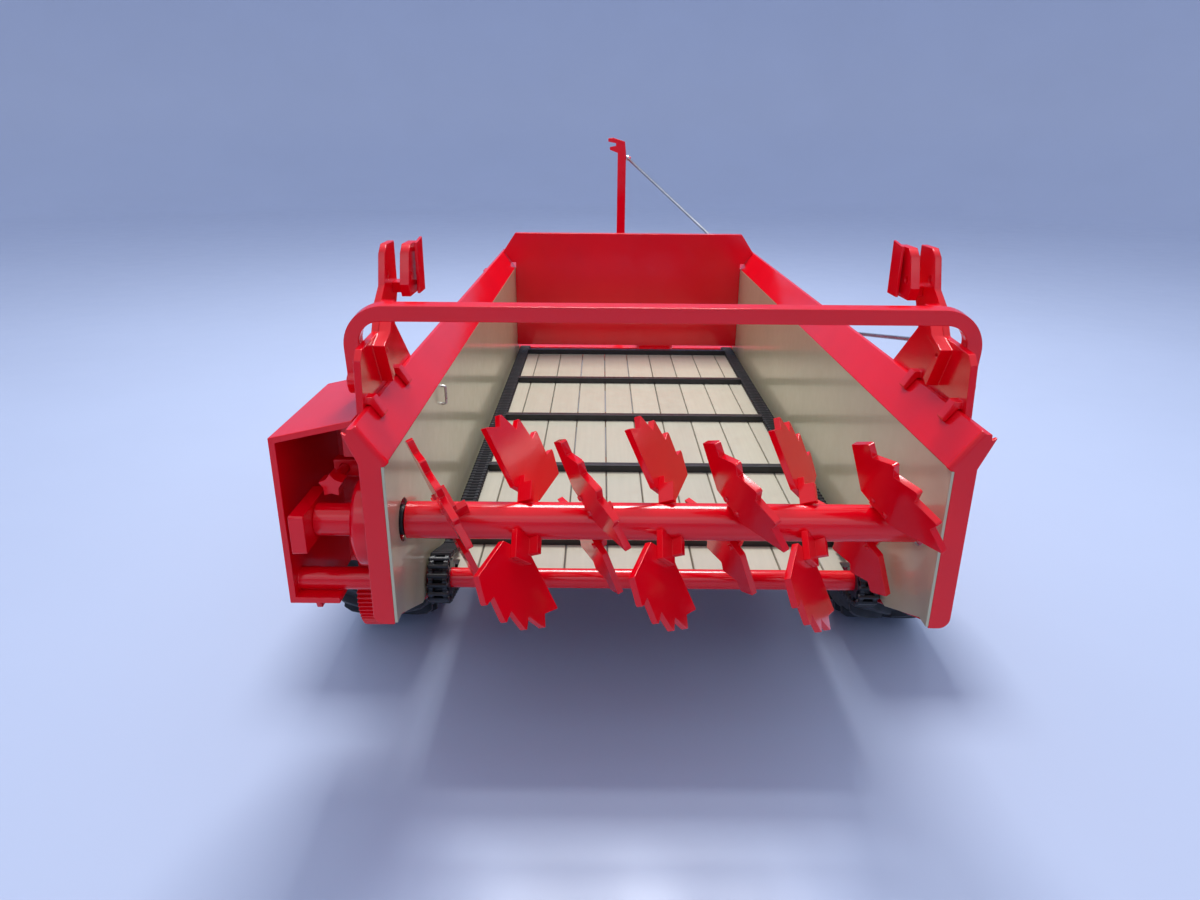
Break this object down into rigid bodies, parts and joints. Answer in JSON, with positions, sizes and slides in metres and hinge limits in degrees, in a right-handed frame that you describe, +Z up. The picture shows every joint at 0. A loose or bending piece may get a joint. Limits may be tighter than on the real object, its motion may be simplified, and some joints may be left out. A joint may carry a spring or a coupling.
{
  "type": "single-axle box spreader",
  "caption": "Open box trailer with plank floor, slatted apron chain, toothed rear beater, swinging rear bow, side drive housing, two wheels, drawbar and jack stand.",
  "frame": {"origin": "middle of the overall footprint, on the ground", "axes": "+X to the right side, +Y forward to the hitch, +Z up; the open rear with the beater faces -Y"},
  "size_m": [0.243, 0.6002, 0.194],
  "materials": {
    "red_enamel": "gloss enamel",
    "tan_paint": "satin paint",
    "black_plastic": "moulded, satin",
    "tyre_rubber": "matt",
    "bare_steel": "drawn wire, dull",
    "zinc_plate": "plated"
  },
  "bodies": {
    "chassis": {"apron_slats": "black_plastic", "axle": "red_enamel", "body_bolts": "zinc_plate", "corner_case": "red_enamel", "cross_members": "red_enamel", "drawbar": "red_enamel", "drive_housing": "red_enamel", "floor_planks": "tan_paint", "frame_rails": "red_enamel", "front_beam": "red_enamel", "front_board": "red_enamel", "gearbox": "red_enamel", "hitch_clevis": "red_enamel", "jack_tube": "red_enamel", "knob_bracket": "red_enamel", "left_apron_chain": "black_plastic", "left_drawbar_arm": "red_enamel", "left_liner": "tan_paint", "left_side_panel": "red_enamel", "left_tower": "red_enamel", "lever_stand": "red_enamel", "right_apron_chain": "black_plastic", "right_drawbar_arm": "red_enamel", "right_liner": "tan_paint", "right_side_panel": "red_enamel", "right_tower": "red_enamel", "rocker_bracket": "red_enamel", "shaft_bushes": "black_plastic", "side_shaft_bearings": "red_enamel", "tower_ears": "red_enamel"},
    "left_wheel": {"left_tyre": "tyre_rubber", "left_rim": "red_enamel", "left_hub": "red_enamel", "left_hub_bolts": "zinc_plate"},
    "right_wheel": {"right_tyre": "tyre_rubber", "right_rim": "red_enamel", "right_hub": "red_enamel", "right_hub_bolts": "zinc_plate"},
    "jack": {"jack_leg": "bare_steel", "jack_foot": "red_enamel"},
    "apron_drive": {"apron_shaft": "red_enamel", "apron_sprockets": "black_plastic", "apron_gear": "red_enamel"},
    "apron_idler": {"idler_shaft": "red_enamel", "idler_wheels": "black_plastic"},
    "beater": {"beater_shaft": "red_enamel", "beater_paddles": "red_enamel", "beater_brackets": "red_enamel", "drive_flange": "red_enamel", "drive_hub": "red_enamel", "crank_bar": "red_enamel"},
    "knob": {"star_knob": "red_enamel"},
    "hoop": {"bow": "red_enamel"},
    "link_rod": {"side_rod": "bare_steel"},
    "bell_crank": {"rocker": "red_enamel"},
    "lever": {"control_lever": "red_enamel"},
    "lever_link": {"lever_rod": "bare_steel"},
    "power_input": {"input_shaft": "bare_steel"},
    "cross_drive": {"cross_shaft": "red_enamel"},
    "side_drive": {"side_shaft": "red_enamel"}
  },
  "joints": [
    {"name": "left_wheel_spin", "type": "hinge", "parent": "chassis", "child": "left_wheel", "pos_m": [-0.103, -0.15288, 0.046], "axis": [1, 0, 0], "continuous": true},
    {"name": "right_wheel_spin", "type": "hinge", "parent": "chassis", "child": "right_wheel", "pos_m": [0.103, -0.15288, 0.046], "axis": [1, 0, 0], "continuous": true},
    {"name": "jack_slide", "type": "slide", "parent": "chassis", "child": "jack", "axis": [0, 0, 1], "range_m": [0, 0.028]},
    {"name": "apron_spin", "type": "hinge", "parent": "chassis", "child": "apron_drive", "pos_m": [0, -0.24788, 0.0648], "axis": [1, 0, 0], "continuous": true},
    {"name": "idler_spin", "type": "hinge", "parent": "chassis", "child": "apron_idler", "pos_m": [0, 0.05712, 0.0587], "axis": [1, 0, 0], "continuous": true},
    {"name": "beater_spin", "type": "hinge", "parent": "chassis", "child": "beater", "pos_m": [0, -0.27288, 0.0967], "axis": [1, 0, 0], "continuous": true},
    {"name": "side_shaft_spin", "type": "hinge", "parent": "chassis", "child": "side_drive", "pos_m": [-0.09, -0.08788, 0.104], "axis": [0, 1, 0], "continuous": true},
    {"name": "cross_shaft_spin", "type": "hinge", "parent": "chassis", "child": "cross_drive", "pos_m": [-0.05, 0.08212, 0.067], "axis": [1, 0, 0], "continuous": true},
    {"name": "input_shaft_spin", "type": "hinge", "parent": "chassis", "child": "power_input", "pos_m": [0.02, 0.09212, 0.067], "axis": [0, 1, 0], "continuous": true},
    {"name": "star_knob_turn", "type": "hinge", "parent": "chassis", "child": "knob", "pos_m": [-0.089, -0.25788, 0.1064], "axis": [0, 1, 0], "continuous": true},
    {"name": "lever_swing", "type": "hinge", "parent": "chassis", "child": "lever", "pos_m": [0, 0.26212, 0.068], "axis": [1, 0, 0], "range_deg": [-6.5, 6.5]},
    {"name": "rocker_swing", "type": "hinge", "parent": "chassis", "child": "bell_crank", "pos_m": [0.08, 0.07312, 0.0672], "axis": [1, 0, 0], "range_deg": [-15, 15]},
    {"name": "bow_swing", "type": "hinge", "parent": "chassis", "child": "hoop", "pos_m": [0, -0.25488, 0.1308], "axis": [1, 0, 0], "range_deg": [-15, 15]},
    {"name": "side_rod_pivot", "type": "hinge", "parent": "hoop", "child": "link_rod", "pos_m": [0.0849, -0.23788, 0.1388], "axis": [1, 0, 0], "range_deg": [-15, 15]},
    {"name": "lever_rod_pivot", "type": "hinge", "parent": "lever", "child": "lever_link", "pos_m": [0.005, 0.26212, 0.178], "axis": [1, 0, 0], "range_deg": [-6.6, 6.6]}
  ],
  "couplings": [
    {"joint": "idler_spin", "follows": "apron_spin", "ratio": 1.2075},
    {"joint": "side_shaft_spin", "follows": "beater_spin", "ratio": -1},
    {"joint": "cross_shaft_spin", "follows": "beater_spin", "ratio": -1},
    {"joint": "input_shaft_spin", "follows": "beater_spin", "ratio": 1},
    {"joint": "rocker_swing", "follows": "lever_swing", "ratio": 2.285},
    {"joint": "bow_swing", "follows": "lever_swing", "ratio": 2.285},
    {"joint": "side_rod_pivot", "follows": "lever_swing", "ratio": -2.285},
    {"joint": "lever_rod_pivot", "follows": "lever_swing", "ratio": -1}
  ]
}
